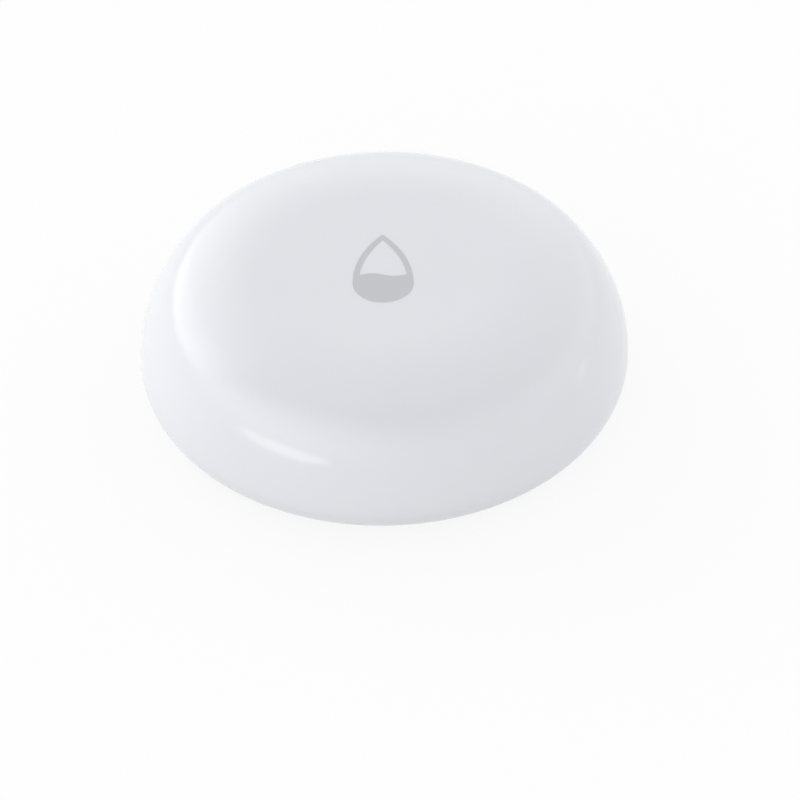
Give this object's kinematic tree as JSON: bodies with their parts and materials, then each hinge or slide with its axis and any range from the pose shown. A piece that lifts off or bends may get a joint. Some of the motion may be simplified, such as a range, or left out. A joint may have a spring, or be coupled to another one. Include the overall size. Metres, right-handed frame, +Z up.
{
  "type": "water leak sensor",
  "caption": "Round pebble-shaped water leak sensor: a press-down dome cover over a sealed housing, with a twist-off coin-cell lid and metal probes underneath.",
  "frame": {"origin": "on the floor under the middle of the sensor", "axes": "+Z up through the crown, +Y away from the side seen in the picture, so the mark's point looks towards +Y, and +X from the left probe to the right probe"},
  "size_m": [0.05, 0.05, 0.015],
  "materials": {
    "cover_gloss": "high gloss white moulding",
    "housing_satin": "fine satin white moulding",
    "seal_rubber": "smooth silicone rubber",
    "board_green": "solder mask over glass laminate",
    "bright_steel": "bright nickel",
    "chip_black": "moulded epoxy",
    "plunger_grey": "satin",
    "spring_metal": "gold-flashed spring sheet",
    "antenna_ceramic": "fine ceramic",
    "led_resin": "milky resin",
    "capacitor_epoxy": "moulded epoxy",
    "capacitor_ceramic": "fine ceramic",
    "cell_steel": "bright stainless sheet",
    "probe_steel": "polished stainless"
  },
  "bodies": {
    "housing": {"base_housing": "housing_satin", "cover_seal": "seal_rubber", "circuit_board": "board_green", "board_screws": "bright_steel", "switch_body": "chip_black", "switch_frame": "bright_steel", "switch_terminals": "spring_metal", "radio_chip": "chip_black", "memory_chip": "chip_black", "crystal": "bright_steel", "chip_antenna": "antenna_ceramic", "indicator_led": "led_resin", "buffer_capacitor": "capacitor_epoxy", "small_capacitors": "capacitor_ceramic", "small_resistors": "chip_black", "cell_can": "cell_steel", "cell_gasket": "seal_rubber", "cell_cap": "cell_steel", "negative_contact": "spring_metal", "positive_contact": "spring_metal", "probe_left": "probe_steel", "probe_right": "probe_steel", "probe_seal_left": "seal_rubber", "probe_seal_right": "seal_rubber", "probe_nut_left": "bright_steel", "probe_nut_right": "bright_steel", "probe_spring_left": "spring_metal", "probe_spring_right": "spring_metal"},
    "cover": {"top_cover": "cover_gloss"},
    "plunger": {"switch_plunger": "plunger_grey"},
    "lid": {"battery_lid": "housing_satin", "lid_seal": "seal_rubber"}
  },
  "joints": [
    {"name": "cover_press", "type": "slide", "parent": "housing", "child": "cover", "axis": [0, 0, -1], "range_m": [0, 0.00035], "stiffness_N_per_m": 3000, "springref_m": -0.0003},
    {"name": "plunger_press", "type": "slide", "parent": "housing", "child": "plunger", "axis": [0, 0, -1], "range_m": [0, 0.00035]},
    {"name": "lid_turn", "type": "hinge", "parent": "housing", "child": "lid", "pos_m": [0, 0, 0.0009], "axis": [0, 0, -1], "range_deg": [0, 40]}
  ],
  "couplings": [
    {"joint": "plunger_press", "follows": "cover_press", "ratio": 1}
  ]
}
